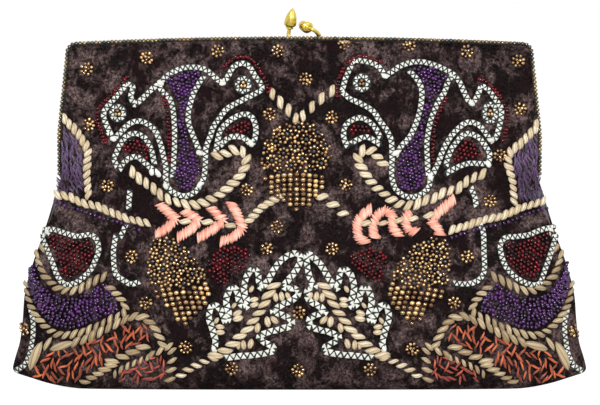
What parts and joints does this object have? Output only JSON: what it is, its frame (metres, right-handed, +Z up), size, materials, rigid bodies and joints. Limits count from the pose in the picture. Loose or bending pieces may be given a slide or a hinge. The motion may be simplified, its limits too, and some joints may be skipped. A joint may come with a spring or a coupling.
{
  "type": "kiss lock frame purse",
  "caption": "Velvet evening purse with bead and cord embroidery on a hinged two-part frame, shut by a kiss lock of two crossing bullet knobs.",
  "frame": {"origin": "centre of the base, on the surface that the purse stands on", "axes": "+X along the purse's width, to the right as seen from the front; -Y towards the front; +Z up"},
  "size_m": [0.2356, 0.0363, 0.1555],
  "materials": {
    "velvet": "crushed aubergine-brown velvet",
    "satin_lining": "dark satin",
    "stiffener_card": "pale buckram card",
    "frame_metal": "brass sheet, bright",
    "clasp_brass": "polished gold-coloured brass",
    "rivet_brass": "brass, slightly worn",
    "edging_beads": "opaque bronze glass seed beads with a lustre",
    "bronze_beads": "opaque gold-bronze glass seed beads with a lustre",
    "purple_beads": "purple glass seed beads",
    "garnet_beads": "garnet glass seed beads",
    "white_braid": "ivory plaited braid couched with dark thread",
    "cream_cord": "cream silk cord, laid in slanted stitches",
    "coral_floss": "coral silk floss, satin stitched",
    "dark_thread": "dark sewing thread"
  },
  "bodies": {
    "pouch": {"front_panel_lower": "velvet", "rear_panel_lower": "velvet", "front_fold_strip": "velvet", "rear_fold_strip": "velvet", "front_stiffener_lower": "stiffener_card", "rear_stiffener_lower": "stiffener_card", "lining_pouch": "satin_lining", "slip_pocket": "satin_lining", "front_beadwork_lower": "purple_beads", "front_acorns_lower": "bronze_beads"},
    "front_frame": {"front_beadwork_upper": "white_braid", "front_acorns_upper": "bronze_beads", "front_panel_upper": "velvet", "front_stiffener_upper": "stiffener_card", "front_lining_upper": "satin_lining", "front_frame_channel": "frame_metal", "front_bead_edging": "edging_beads", "front_clasp_arm": "clasp_brass", "front_clasp_knob": "clasp_brass"},
    "rear_frame": {"rear_panel_upper": "velvet", "rear_stiffener_upper": "stiffener_card", "rear_lining_upper": "satin_lining", "rear_frame_channel": "frame_metal", "rear_bead_edging": "edging_beads", "rear_clasp_arm": "clasp_brass", "rear_clasp_knob": "clasp_brass", "left_hinge_rivet": "rivet_brass", "right_hinge_rivet": "rivet_brass"}
  },
  "joints": [
    {"name": "front_frame_hinge", "type": "hinge", "parent": "pouch", "child": "front_frame", "pos_m": [0, 0, 0.0875], "axis": [1, 0, 0], "range_deg": [0, 45], "deforming": ["front_fold_strip"]},
    {"name": "rear_frame_hinge", "type": "hinge", "parent": "pouch", "child": "rear_frame", "pos_m": [0, 0, 0.0875], "axis": [-1, 0, 0], "range_deg": [0, 45], "deforming": ["rear_fold_strip"]}
  ]
}
